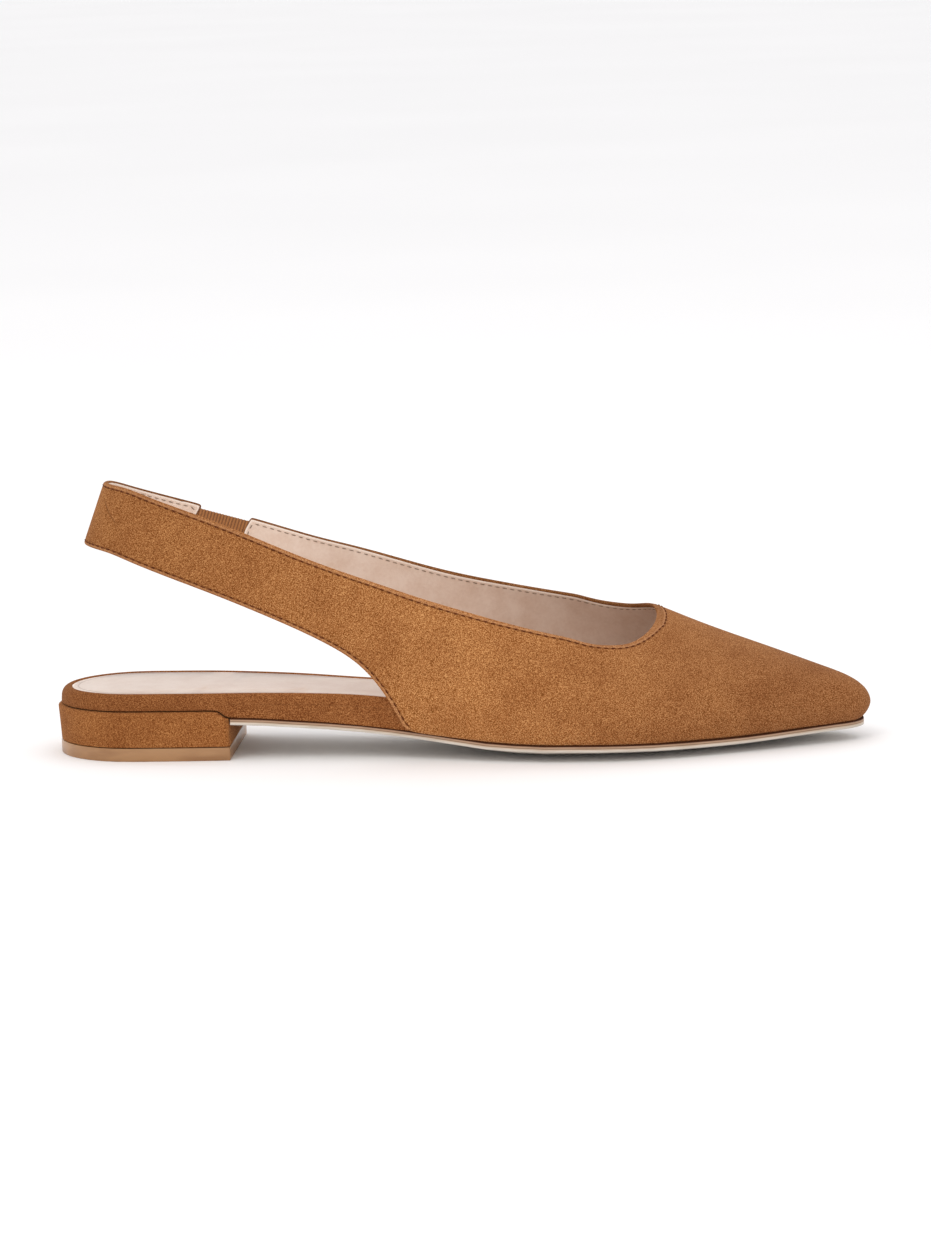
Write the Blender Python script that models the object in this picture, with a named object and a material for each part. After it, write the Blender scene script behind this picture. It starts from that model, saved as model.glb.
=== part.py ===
"""Sling back flat with a pointed toe and a low block heel, right shoe.

+X runs to the toe, +Y to the big toe side (medial), +Z up. The origin is on the floor under the
middle of the heel. The functions measure x from the back of the heel, and block() moves it at the
end. Every size is in metres.
"""

import math
from collections import namedtuple

import bmesh
import bpy
from mathutils import Vector

# Sole outline
SOLE_LENGTH = 0.2640
BALL_WIDTH = 0.0740
WAIST_WIDTH = 0.0415
SEAT_WIDTH = 0.0520
TOE_ROUND = 0.0090
SEAT_ROUND = 0.0265

# Heights over the floor
SEAT_HEIGHT = 0.0205
HEEL_TOP = 0.0162
BREAST_HEIGHT = 0.0117
TOE_SPRING = 0.0044
EDGE_RISE = 0.0034
STRAP_HEIGHT = 0.0890
INSTEP_HEIGHT = 0.0445

# Heel, sole and footbed
HEEL_LENGTH = 0.0588
HEEL_LEDGE = 0.0004
HEEL_TAPER = 0.0008
HEEL_CORNER = 0.0045
LIFT_HEIGHT = 0.0043
OUTSOLE_THICKNESS = 0.0019
WAIST_INSET = 0.0005
BOARD_THICKNESS = 0.0036
FOOTBED_ROUND = 0.0018
BED_INSET = 0.0007
INSOLE_THICKNESS = 0.0007
INSOLE_BORDER = 0.0036

# Upper
WALL = 0.0016
FOOT_INSET = 0.0002
EDGE_FOLD = 0.0004
BACK_BEND = 0.0320
STRAP_BACK = 0.0100
STRAP_LEAN = 0.0074
STRAP_SPREAD = 0.0410
QUARTER_FOOT = 0.1163
QUARTER_TOP = 0.1300
THROAT_START = 0.1700
THROAT_FRONT = 0.1977
NOSE_ROUND = 0.0080

# Elastic gore in the medial strap
GORE_BACK = 0.0466
GORE_LENGTH = 0.0162
GORE_THICKNESS = 0.0011
GORE_STEP = 0.0011

GAP = 0.0003
LATERAL = -1
MEDIAL = 1

# Half-widths of the sole, as shares of the named width that they follow.
Outline = namedtuple("Outline", "along width lateral medial")
OUTLINE = (
    Outline(0.00, SEAT_WIDTH, 0.482, 0.482),
    Outline(0.10, SEAT_WIDTH, 0.496, 0.496),
    Outline(0.17, SEAT_WIDTH, 0.500, 0.492),
    Outline(0.25, SEAT_WIDTH, 0.488, 0.433),
    Outline(0.30, WAIST_WIDTH, 0.614, 0.482),
    Outline(0.35, WAIST_WIDTH, 0.617, 0.410),
    Outline(0.40, WAIST_WIDTH, 0.648, 0.360),
    Outline(0.44, WAIST_WIDTH, 0.689, 0.352),
    Outline(0.50, WAIST_WIDTH, 0.773, 0.422),
    Outline(0.56, BALL_WIDTH, 0.484, 0.325),
    Outline(0.62, BALL_WIDTH, 0.514, 0.410),
    Outline(0.68, BALL_WIDTH, 0.516, 0.470),
    Outline(0.73, BALL_WIDTH, 0.492, 0.482),
    Outline(0.78, BALL_WIDTH, 0.437, 0.455),
    Outline(0.83, BALL_WIDTH, 0.361, 0.396),
    Outline(0.88, BALL_WIDTH, 0.274, 0.324),
    Outline(0.93, BALL_WIDTH, 0.182, 0.245),
    Outline(0.97, BALL_WIDTH, 0.108, 0.178),
    Outline(1.00, BALL_WIDTH, 0.070, 0.138),
)

# Underside of the outsole: the middle stands heel x BREAST_HEIGHT + spring x TOE_SPRING over the
# floor, and the edge rise x EDGE_RISE above the middle.
Bottom = namedtuple("Bottom", "along heel spring rise")
BOTTOM = (
    Bottom(0.00, 1.000, 0.00, 0.00),
    Bottom(0.22, 1.000, 0.00, 0.00),
    Bottom(0.31, 0.890, 0.00, 0.00),
    Bottom(0.38, 0.765, 0.00, 0.03),
    Bottom(0.44, 0.590, 0.00, 0.18),
    Bottom(0.49, 0.370, 0.00, 0.46),
    Bottom(0.54, 0.160, 0.00, 0.72),
    Bottom(0.58, 0.045, 0.00, 0.95),
    Bottom(0.62, 0.000, 0.00, 1.03),
    Bottom(0.74, 0.000, 0.00, 0.96),
    Bottom(0.80, 0.000, 0.10, 0.80),
    Bottom(0.86, 0.000, 0.30, 0.56),
    Bottom(0.93, 0.000, 0.64, 0.32),
    Bottom(1.00, 0.000, 1.00, 0.05),
)

# Top of the footbed, from the ball (0) to the seat (1).
Seat = namedtuple("Seat", "along high")
SEAT = (
    Seat(0.00, 0.985),
    Seat(0.10, 1.000),
    Seat(0.22, 0.965),
    Seat(0.35, 0.870),
    Seat(0.43, 0.740),
    Seat(0.50, 0.480),
    Seat(0.56, 0.200),
    Seat(0.64, 0.000),
    Seat(1.00, 0.000),
)

# Footbed left bare round the insole sock, as shares of INSOLE_BORDER.
Border = namedtuple("Border", "along lateral medial")
BORDER = (
    Border(0.00, 1.05, 1.05),
    Border(0.20, 0.92, 1.10),
    Border(0.30, 0.92, 1.30),
    Border(0.38, 0.92, 1.90),
    Border(0.44, 0.70, 1.60),
    Border(0.52, 0.25, 0.50),
    Border(0.60, 0.20, 0.20),
    Border(1.00, 0.20, 0.20),
)

# Flank of the upper: how far its widest line stands out over the foot of the wall, and how high that
# line runs above it, as shares of INSTEP_HEIGHT.
Flank = namedtuple("Flank", "along lateral lateral_up medial medial_up")
FLANK = (
    Flank(0.30, 0.030, 0.42, 0.300, 0.64),
    Flank(0.44, 0.035, 0.36, 0.300, 0.62),
    Flank(0.50, 0.045, 0.30, 0.265, 0.56),
    Flank(0.56, 0.055, 0.25, 0.172, 0.44),
    Flank(0.62, 0.055, 0.22, 0.096, 0.32),
    Flank(0.68, 0.055, 0.20, 0.060, 0.23),
    Flank(0.80, 0.055, 0.18, 0.055, 0.18),
    Flank(0.90, 0.062, 0.16, 0.062, 0.16),
    Flank(1.00, 0.072, 0.13, 0.072, 0.13),
)

# Crest of the last: height as a share of INSTEP_HEIGHT, offset to the medial side as a share of
# BALL_WIDTH, and the roundness of the section. Behind the throat the crest is where a foot would be.
Crest = namedtuple("Crest", "along height offset round")
CREST = (
    Crest(0.04, 3.60, 0.000, 2.30),
    Crest(0.25, 3.00, 0.010, 2.30),
    Crest(0.40, 2.15, 0.030, 2.20),
    Crest(0.50, 1.76, 0.060, 2.10),
    Crest(0.58, 1.46, 0.085, 2.00),
    Crest(0.645, 1.24, 0.100, 1.95),
    Crest(0.69, 1.11, 0.105, 1.80),
    Crest(0.72, 1.04, 0.105, 1.66),
    Crest(0.748, 0.99, 0.100, 1.62),
    Crest(0.787, 0.885, 0.092, 1.68),
    Crest(0.825, 0.800, 0.070, 1.74),
    Crest(0.863, 0.720, 0.050, 1.80),
    Crest(0.90, 0.641, 0.030, 1.90),
    Crest(0.935, 0.562, 0.015, 1.98),
    Crest(0.97, 0.490, 0.005, 2.00),
    Crest(1.00, 0.425, 0.000, 2.00),
)

# Half-spread of the strap, as shares of STRAP_SPREAD.
Spread = namedtuple("Spread", "along lateral medial")
SPREAD = (
    Spread(0.04, 0.520, 0.520),
    Spread(0.18, 0.560, 0.550),
    Spread(0.26, 0.625, 0.600),
    Spread(0.33, 0.700, 0.665),
    Spread(0.40, 0.765, 0.730),
    Spread(0.46, 0.810, 0.760),
)

# Top line in side view, as shares of STRAP_HEIGHT.
TopLine = namedtuple("TopLine", "along lateral medial")
TOP_LINE = (
    TopLine(0.065, 0.998, 0.998),
    TopLine(0.095, 0.990, 0.953),
    TopLine(0.13, 0.958, 0.914),
    TopLine(0.17, 0.917, 0.877),
    TopLine(0.24, 0.838, 0.815),
    TopLine(0.32, 0.742, 0.736),
    TopLine(0.40, 0.656, 0.667),
    TopLine(0.48, 0.577, 0.600),
    TopLine(0.56, 0.508, 0.550),
    TopLine(0.61, 0.469, 0.523),
    TopLine(0.65, 0.440, 0.505),
)

# Lower edge of the strap and rear edge of the quarter, as shares of STRAP_HEIGHT.
LowEdge = namedtuple("LowEdge", "along lateral medial")
LOW_EDGE = (
    LowEdge(0.036, 0.773, 0.773),
    LowEdge(0.072, 0.759, 0.736),
    LowEdge(0.11, 0.721, 0.694),
    LowEdge(0.185, 0.637, 0.614),
    LowEdge(0.26, 0.549, 0.530),
    LowEdge(0.333, 0.455, 0.447),
    LowEdge(0.37, 0.395, 0.392),
    LowEdge(0.39, 0.349, 0.346),
    LowEdge(0.406, 0.296, 0.294),
    LowEdge(0.421, 0.230, 0.230),
    LowEdge(0.432, 0.168, 0.168),
    LowEdge(0.4405, 0.115, 0.115),
)

# Where a line across the strap meets its two edges, as shares of the way from the bend.
Strap = namedtuple("Strap", "along top low")
STRAP = (
    Strap(0.00, 0.000, 0.000),
    Strap(0.35, 0.350, 0.400),
    Strap(0.60, 0.590, 0.690),
    Strap(0.80, 0.780, 0.890),
    Strap(0.92, 0.905, 0.972),
    Strap(1.00, 1.000, 1.000),
)

# Lines that fan over the vamp: their angle round the throat, as a share of a quarter turn, and where
# they meet the sole, as a share of the way from the quarter to the toe.
Fan = namedtuple("Fan", "along throat toe")
FAN = (
    Fan(0.00, 0.00, 0.000),
    Fan(0.20, 0.18, 0.200),
    Fan(0.40, 0.38, 0.440),
    Fan(0.60, 0.58, 0.680),
    Fan(0.80, 0.78, 0.880),
    Fan(0.90, 0.89, 0.965),
    Fan(1.00, 1.00, 1.000),
)
FAN_START = 0.375

# Lines of the upper's mesh in each stretch of its ring, and rows down its wall.
BEND_LINES = 10
STRAP_LINES = 17
QUARTER_LINES = 7
FAN_LINES = 16
LINES = BEND_LINES + STRAP_LINES + QUARTER_LINES + FAN_LINES
WALL_ROWS = 9
TUCK_ROWS = 3
ROWS = WALL_ROWS + TUCK_ROWS

# Sections along the sole: behind the heel's front corner, over it, and on to the toe.
SEAT_LINES = 12
CORNER_LINES = 4
WAIST_LINES = 30


def mix(a, b, share):
    return a + (b - a) * share


def smooth(share):
    share = min(max(share, 0.0), 1.0)
    return share * share * (3 - 2 * share)


def slopes(table, name):
    """Slope of a column at each row, limited so that the curve never swings past its rows."""
    at = [row.along for row in table]
    values = [getattr(row, name) for row in table]
    chords = [(values[i + 1] - values[i]) / (at[i + 1] - at[i]) for i in range(len(at) - 1)]
    inner = [2 * a * b / (a + b) if a * b > 0 else 0.0 for a, b in zip(chords, chords[1:])]
    return at, values, [chords[0], *inner, chords[-1]]


CURVES = {}


def curve(table, name, where):
    """Value of a column at a place between the table's rows, on a smooth curve through them."""
    key = (table, name)
    if key not in CURVES:
        CURVES[key] = slopes(table, name)
    at, values, slope = CURVES[key]
    where = min(max(where, at[0]), at[-1])
    i = max([k for k in range(len(at) - 1) if at[k] <= where])
    span = at[i + 1] - at[i]
    t = (where - at[i]) / span
    rise = slope[i] * t * (1 - t) ** 2 - slope[i + 1] * t * t * (1 - t)
    return values[i] * (1 + 2 * t) * (1 - t) ** 2 + values[i + 1] * t * t * (3 - 2 * t) + rise * span


def along(x):
    return x / SOLE_LENGTH


def side_name(side):
    return "lateral" if side == LATERAL else "medial"


HALF_WIDTHS = tuple(row._replace(width=1, lateral=row.lateral * row.width, medial=row.medial * row.width)
                    for row in OUTLINE)
TOE_AXIS = (HALF_WIDTHS[-1].medial - HALF_WIDTHS[-1].lateral) / 2


def round_end(distance, radius):
    """Share of the full width at a distance from a rounded end."""
    inside = 1 - min(max(distance, 0.0), radius) / radius
    return math.sqrt(max(0.0, 1 - inside * inside))


def centre_line(x):
    """Middle of the outline, which swings to the medial side at the toe."""
    return TOE_AXIS * smooth((along(x) - 0.75) / 0.25)


def outline_y(side, x, grow=0.0):
    """Y of the sole's outline grown by grow. Its rounded ends close on the centre line."""
    middle = centre_line(x)
    plain = side * (curve(HALF_WIDTHS, side_name(side), along(x)) + grow)
    close = round_end(SOLE_LENGTH + grow - x, TOE_ROUND + grow) * round_end(x + grow, SEAT_ROUND + grow)
    return middle + (plain - middle) * close


FLAT_SHARE = 0.45


def across(x, y):
    """How far a place in plan is from the middle of the sole (0) towards its edge (1)."""
    lateral, medial = (curve(HALF_WIDTHS, side_name(side), along(x)) for side in (LATERAL, MEDIAL))
    return min(1.0, abs(y - (medial - lateral) / 2) / ((medial + lateral) / 2))


def sole_bottom(x, y):
    """Height of the outsole's underside over a place in plan."""
    at = along(x)
    middle = BREAST_HEIGHT * curve(BOTTOM, "heel", at) + TOE_SPRING * curve(BOTTOM, "spring", at)
    cup = max(0.0, across(x, y) - FLAT_SHARE) / (1 - FLAT_SHARE)
    return middle + EDGE_RISE * curve(BOTTOM, "rise", at) * cup**1.5


def sole_top(x, y):
    return sole_bottom(x, y) + OUTSOLE_THICKNESS


def bed_bottom(x, y):
    """Underside of the footbed: it steps up from the outsole over the heel's rounded front corner."""
    return mix(sole_top(x, y) + GAP, HEEL_TOP + GAP, smooth((HEEL_LENGTH - x) / HEEL_CORNER))


def bed_top(x, y):
    """Top of the footbed: level at the seat, and cupped with the sole at the ball."""
    ball = sole_top(x, y) + GAP + BOARD_THICKNESS
    return mix(ball, SEAT_HEIGHT, curve(SEAT, "high", along(x)))


def foot_grow(x):
    """How far the foot of the upper stands outside the sole's outline. The quarter's rear edge wraps
    the footbed, and further forward the wall stands on the outsole."""
    wrap = smooth((along(x) - along(QUARTER_FOOT)) / 0.09)
    return mix(WALL + GAP, -FOOT_INSET, wrap)


def bed_grow(side, x):
    return foot_grow(x) - WALL - GAP - BED_INSET * smooth((along(QUARTER_FOOT) - along(x)) / 0.10)


def insole_grow(side, x):
    return bed_grow(side, x) - INSOLE_BORDER * curve(BORDER, side_name(side), along(x))


def outsole_grow(side, x):
    return -WAIST_INSET * smooth((along(QUARTER_FOOT) - along(x)) / 0.04)


def feather(x):
    """Height of the upper's foot over the floor, on the edge of the outsole."""
    return sole_top(x, outline_y(LATERAL, x)) + GAP


def flank_out(side, x):
    return INSTEP_HEIGHT * curve(FLANK, side_name(side), along(x))


def widest_height(side, x):
    return feather(x) + INSTEP_HEIGHT * curve(FLANK, side_name(side) + "_up", along(x))


def widest_y(side, x):
    """Y of the upper's widest line. Behind the quarter it follows the spread of the strap."""
    grown = outline_y(side, x, foot_grow(x) + flank_out(side, x))
    strap = side * STRAP_SPREAD * curve(SPREAD, side_name(side), along(x))
    return mix(strap, grown, smooth((along(x) - 0.32) / 0.11))


NOSE_TIP = SOLE_LENGTH - FOOT_INSET + INSTEP_HEIGHT * FLANK[-1].lateral


def crest_y(x):
    return centre_line(x) + BALL_WIDTH * curve(CREST, "offset", along(x))


def crest_height(x):
    return INSTEP_HEIGHT * curve(CREST, "height", along(x))


def back_line(z):
    """X of the strap's back at a height: it leans forward from its lower edge to its top."""
    low = STRAP_HEIGHT * LOW_EDGE[0].lateral
    return STRAP_BACK + STRAP_LEAN * max(0.0, (z - low) / (STRAP_HEIGHT - low))


def wall_y(side, x, z):
    """Y of the outer face of a flank or a strap, at a place in side view."""
    widest = widest_height(side, x)
    edge = widest_y(side, x)
    if z < widest:
        tuck = (widest - z) / (widest - feather(x))
        return edge - side * flank_out(side, x) * tuck * tuck
    power = curve(CREST, "round", along(x))
    up = min(1.0, (z - widest) / (crest_height(x) - widest))
    y = mix(crest_y(x), edge, (1 - up**power) ** (1 / power))
    return y * round_end(x - back_line(z), BACK_BEND)


def last_height(x, y):
    """Height of the last's upper face over a place in plan, from the throat to the toe."""
    side = LATERAL if y < crest_y(x) else MEDIAL
    widest = widest_height(side, x)
    reach = abs(widest_y(side, x) - crest_y(x))
    share = min(1.0, abs(y - crest_y(x)) / max(reach, 1e-6))
    power = curve(CREST, "round", along(x))
    nose = round_end(NOSE_TIP - x, NOSE_ROUND)
    return widest + (crest_height(x) - widest) * nose * (1 - share**power) ** (1 / power)


def top_height(side, x):
    return STRAP_HEIGHT * curve(TOP_LINE, side_name(side), along(x))


def low_height(side, x):
    edge = STRAP_HEIGHT * curve(LOW_EDGE, side_name(side), along(x))
    return feather(x) if x >= QUARTER_FOOT else max(edge, feather(x))


def throat(side, turn):
    """Plan of the top line round the throat, from its start (0) to its front (1)."""
    ends = [wall_y(s, THROAT_START, top_height(s, THROAT_START)) for s in (LATERAL, MEDIAL)]
    angle = turn * math.pi / 2
    x = THROAT_START + (THROAT_FRONT - THROAT_START) * math.sin(angle)
    return Vector((x, sum(ends) / 2 + side * (ends[1] - ends[0]) / 2 * math.cos(angle)))


def edge_point(side, reach, grow):
    """Plan of a place on the sole's outline grown by grow, reach running from the quarter (0) to the
    toe (1)."""
    x = mix(QUARTER_FOOT, SOLE_LENGTH, reach)
    lead = smooth((reach - FAN_START) / (1 - FAN_START))
    x += grow(SOLE_LENGTH) * lead
    return Vector((x, outline_y(side, x, grow(x))))


def fan_point(side, top, reach, down):
    """Point on a line that runs from the top line over the last to the sole's edge. down is 0 at the
    top line, 1 at the widest line and 2 at the foot."""
    wide = edge_point(side, reach, lambda x: foot_grow(x) + flank_out(side, x))
    if down <= 1:
        plan = top.lerp(wide, math.sin(down * math.pi / 2))
        return Vector((plan.x, plan.y, last_height(plan.x, plan.y)))
    foot = edge_point(side, reach, foot_grow)
    tuck = down - 1
    plan = wide.lerp(foot, tuck * tuck)
    return Vector((plan.x, plan.y, mix(widest_height(side, wide.x), feather(foot.x), tuck)))


def side_point(side, top_x, low_x, down, fanned=0.0):
    """Point of a strap or quarter, on a line from the top line to the lower edge in side view."""
    row = down * WALL_ROWS if down <= 1 else WALL_ROWS + (down - 1) * TUCK_ROWS
    share = row / ROWS
    top_z, low_z = top_height(side, top_x), low_height(side, low_x)
    z = mix(top_z, low_z, share)
    x = back_line(z) + mix(top_x - back_line(top_z), low_x - back_line(low_z), share)
    if fanned > 0:
        top = Vector((top_x, wall_y(side, top_x, top_z)))
        reach = (low_x - QUARTER_FOOT) / (SOLE_LENGTH - QUARTER_FOOT)
        fan = fan_point(side, top, reach, down)
        x, z = mix(x, fan.x, fanned), mix(z, fan.z, fanned)
    return Vector((x, wall_y(side, x, z), z))


def line_ends(side, line):
    """X of the upper and the lower end of a line across the strap."""
    top_start = back_line(STRAP_HEIGHT) + BACK_BEND
    low_start = STRAP_BACK + BACK_BEND
    if line <= BEND_LINES:
        behind = BACK_BEND * math.cos(line / BEND_LINES * math.pi / 2)
        return top_start - behind, low_start - behind
    turn = (line - BEND_LINES) / STRAP_LINES
    top = mix(top_start, QUARTER_TOP, curve(STRAP, "top", turn))
    return top, mix(low_start, QUARTER_FOOT, curve(STRAP, "low", turn))


def upper_point(side, line, down):
    """Point of the upper's outer face. line counts from the middle of the back bend to the toe."""
    if line <= BEND_LINES + STRAP_LINES:
        return side_point(side, *line_ends(side, line), down)
    line -= BEND_LINES + STRAP_LINES
    if line <= QUARTER_LINES:
        turn = line / QUARTER_LINES
        low_x = mix(QUARTER_FOOT, SOLE_LENGTH, FAN_START * turn)
        return side_point(side, mix(QUARTER_TOP, THROAT_START, turn), low_x, down, smooth(turn))
    turn = (line - QUARTER_LINES) / FAN_LINES
    reach = mix(FAN_START, 1.0, curve(FAN, "toe", turn))
    return fan_point(side, throat(side, curve(FAN, "throat", turn)), reach, down)


def ring_point(around, down):
    """The same for the whole ring: around runs from the back's middle over the medial side to the toe
    at LINES, and on over the lateral side to the back again."""
    around = (around + LINES) % (2 * LINES) - LINES
    return upper_point(MEDIAL if around > 0 else LATERAL, abs(around), min(max(down, 0.0), 2.0))


STEP = 0.03


def ring_frame(around, down):
    """Point of the upper's outer face, its direction along the ring, and its outward normal."""
    ahead = ring_point(around + STEP, down) - ring_point(around - STEP, down)
    below = ring_point(around, down + STEP) - ring_point(around, down - STEP)
    return ring_point(around, down), ahead.normalized(), ahead.cross(below).normalized()


def gore_line(x):
    """Line of the medial strap whose upper end is at x."""
    low, high = 0.0, float(BEND_LINES + STRAP_LINES)
    for _ in range(40):
        middle = (low + high) / 2
        if line_ends(MEDIAL, middle)[0] < x:
            low = middle
        else:
            high = middle
    return middle


def material(name, colour, roughness):
    made = bpy.data.materials.new(name)
    made.use_nodes = True
    shader = made.node_tree.nodes["Principled BSDF"]
    shader.inputs["Base Color"].default_value = (*colour, 1.0)
    shader.inputs["Roughness"].default_value = roughness
    shader.inputs["Metallic"].default_value = 0.0
    return made


def block(name, columns, rows, layers, place, colour, roughness):
    """Closed solid from a grid that is extruded through its layers. place gives the position of a
    vertex from its column, row and layer."""
    bm = bmesh.new()
    bmesh.ops.create_grid(bm, x_segments=columns, y_segments=rows, size=0.5)
    cap = bm.faces[:]
    for layer in range(layers):
        made = bmesh.ops.extrude_face_region(bm, geom=cap)["geom"]
        raised = [item for item in made if isinstance(item, bmesh.types.BMVert)]
        bmesh.ops.translate(bm, vec=(0.0, 0.0, 1.0), verts=raised)
        if layer > 0:
            bmesh.ops.delete(bm, geom=cap, context="FACES_KEEP_BOUNDARY")
        cap = [item for item in made if isinstance(item, bmesh.types.BMFace)]
    for vertex in bm.verts:
        column = round((vertex.co.x + 0.5) * columns)
        row = round((vertex.co.y + 0.5) * rows)
        vertex.co = place(column, row, round(vertex.co.z))
        vertex.co.x -= HEEL_LENGTH / 2
    bmesh.ops.remove_doubles(bm, verts=bm.verts, dist=1e-6)
    bmesh.ops.recalc_face_normals(bm, faces=bm.faces)
    mesh = bpy.data.meshes.new(name)
    bm.to_mesh(mesh)
    bm.free()
    mesh.shade_smooth()
    mesh.set_sharp_from_angle(angle=math.radians(50))
    mesh.materials.append(material(name, colour, roughness))
    node = bpy.data.objects.new(name, mesh)
    bpy.context.scene.collection.objects.link(node)
    return node


def build_upper():
    """Vamp, quarters and sling strap in one wall, open at the gore, the collar and underneath."""
    first = gore_line(GORE_BACK + GORE_LENGTH)
    last = 2 * LINES + gore_line(GORE_BACK)
    start = math.floor(first)
    columns = math.ceil(last) - start

    def place(column, row, layer):
        around = min(max(start + column, first), last)
        down = row / WALL_ROWS if row <= WALL_ROWS else 1 + (row - WALL_ROWS) / TUCK_ROWS
        point, ahead, normal = ring_frame(around, down)
        on_sole = down == 2 and point.z < feather(point.x) + GAP
        inward = -normal * WALL * layer / 2
        if on_sole:
            inward.z = 0.0
        if layer == 1 and not on_sole:
            fold = {0: -1, ROWS: 1}.get(row, 0)
            inward += ahead.cross(normal) * EDGE_FOLD * -fold
            inward += ahead * EDGE_FOLD * {0: -1, columns: 1}.get(column, 0)
        return point + inward

    return block("upper", columns, ROWS, 2, place, (0.37, 0.17, 0.07), 0.9)


def build_gore():
    """Elastic gore that closes the medial strap, a little lower than the strap at both edges."""
    clear = GAP + EDGE_FOLD
    first = gore_line(GORE_BACK + clear)
    last = gore_line(GORE_BACK + GORE_LENGTH - clear)
    columns, rows = 10, 4

    def place(column, row, layer):
        around = mix(first, last, column / columns)
        width = (ring_point(around, 0.0) - ring_point(around, 2.0)).length
        step = GORE_STEP / width
        share = mix(step, 1 - step, row / rows) * ROWS
        down = share / WALL_ROWS if share <= WALL_ROWS else 1 + (share - WALL_ROWS) / TUCK_ROWS
        point, _, normal = ring_frame(around, down)
        return point - normal * ((WALL - GORE_THICKNESS) / 2 + GORE_THICKNESS * layer)

    return block("elastic_gore", columns, rows, 1, place, (0.10, 0.045, 0.03), 0.8)


def seat_stations(start):
    """X of the sections from a rounded back over the heel's front corner to its breast."""
    corner = HEEL_LENGTH - HEEL_CORNER
    back = [mix(start, corner, 1 - math.cos(i / SEAT_LINES * math.pi / 2)) for i in range(SEAT_LINES)]
    return back + [corner + HEEL_CORNER * i / CORNER_LINES for i in range(CORNER_LINES + 1)]


def waist_stations(start, end):
    """X of the sections from the heel's breast to a rounded toe."""
    return [mix(start, end, math.sin(i / WAIST_LINES * math.pi / 2)) for i in range(WAIST_LINES + 1)]


def sole_place(x, share, grow):
    """Y across a sole piece, share running from its lateral edge (0) to its medial edge (1)."""
    return mix(outline_y(LATERAL, x, grow(LATERAL, x)), outline_y(MEDIAL, x, grow(MEDIAL, x)), share)


def build_footbed():
    """Covered board over the whole length, with a rounded upper edge where it shows."""
    columns, rows = SEAT_LINES + CORNER_LINES + WAIST_LINES, 8
    insets = (0.0, 0.0, 0.3, 1.0)
    drops = (0.0, 1.0, 0.3, 0.0)

    def place(column, row, layer):
        inset = FOOTBED_ROUND * insets[layer]

        def grow(side, x):
            return bed_grow(side, x) - inset

        toe = SOLE_LENGTH + grow(MEDIAL, SOLE_LENGTH)
        x = (seat_stations(-grow(MEDIAL, 0)) + waist_stations(HEEL_LENGTH, toe)[1:])[column]
        y = sole_place(x, row / rows, grow)
        z = bed_bottom(x, y) if layer == 0 else bed_top(x, y) - FOOTBED_ROUND * drops[layer]
        return Vector((x, y, z))

    return block("footbed", columns, rows, 3, place, (0.37, 0.17, 0.07), 0.9)


def build_insole():
    """Sock on the footbed, inside a bare border."""
    columns, rows = SEAT_LINES + CORNER_LINES + WAIST_LINES, 8
    toe = SOLE_LENGTH + insole_grow(MEDIAL, SOLE_LENGTH)
    stations = seat_stations(-insole_grow(MEDIAL, 0)) + waist_stations(HEEL_LENGTH, toe)[1:]

    def place(column, row, layer):
        x = stations[column]
        y = sole_place(x, row / rows, insole_grow)
        return Vector((x, y, bed_top(x, y) + GAP + INSOLE_THICKNESS * layer))

    return block("insole", columns, rows, 1, place, (0.62, 0.42, 0.33), 0.5)


def build_outsole():
    """Thin sole from the heel's breast to the toe, arched at the waist and sprung at the toe."""
    columns, rows = WAIST_LINES, 10
    stations = waist_stations(HEEL_LENGTH + GAP, SOLE_LENGTH)

    def place(column, row, layer):
        x = stations[column]
        y = sole_place(x, row / rows, outsole_grow)
        return Vector((x, y, sole_bottom(x, y) + OUTSOLE_THICKNESS * layer))

    return block("outsole", columns, rows, 1, place, (0.66, 0.50, 0.36), 0.5)


def heel_place(grow, column, share):
    """Plan of the heel, round behind and straight across its breast."""
    x = seat_stations(-grow)[column]
    return x, sole_place(x, share, lambda side, x: grow)


def build_heel():
    """Covered heel block, a little wider than the footbed, whose front corner rounds down to the
    outsole."""
    columns, rows = SEAT_LINES + CORNER_LINES, 8
    grows = (HEEL_LEDGE - HEEL_TAPER, HEEL_LEDGE - HEEL_TAPER / 2, HEEL_LEDGE, HEEL_LEDGE - 0.0006)
    bottom = LIFT_HEIGHT + GAP

    def place(column, row, layer):
        x, y = heel_place(grows[layer], column, row / rows)
        top = bed_bottom(x, y) - GAP
        z = (bottom, mix(bottom, top, 0.5), top - 0.0007, top)[layer]
        return Vector((x, y, z))

    return block("heel", columns, rows, 3, place, (0.37, 0.17, 0.07), 0.9)


def build_lift():
    """Top lift under the heel, flat on the floor."""
    columns, rows = SEAT_LINES + CORNER_LINES, 8

    def place(column, row, layer):
        x, y = heel_place(HEEL_LEDGE - HEEL_TAPER, column, row / rows)
        return Vector((x, y, LIFT_HEIGHT * layer))

    return block("top_lift", columns, rows, 1, place, (0.33, 0.20, 0.12), 0.5)


def main():
    for node in list(bpy.data.objects):
        bpy.data.objects.remove(node, do_unlink=True)
    build_upper()
    build_gore()
    build_footbed()
    build_insole()
    build_outsole()
    build_heel()
    build_lift()


main()
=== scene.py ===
"""Looks of the sling back flat: suede upper, stitch rows, lining, sock, elastic gore and sole."""

import math

import bmesh
import bpy
from bpy.props import FloatProperty, FloatVectorProperty, IntProperty, PointerProperty
from mathutils import Matrix, Vector
from mathutils.bvhtree import BVHTree
from mathutils.kdtree import KDTree


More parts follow.
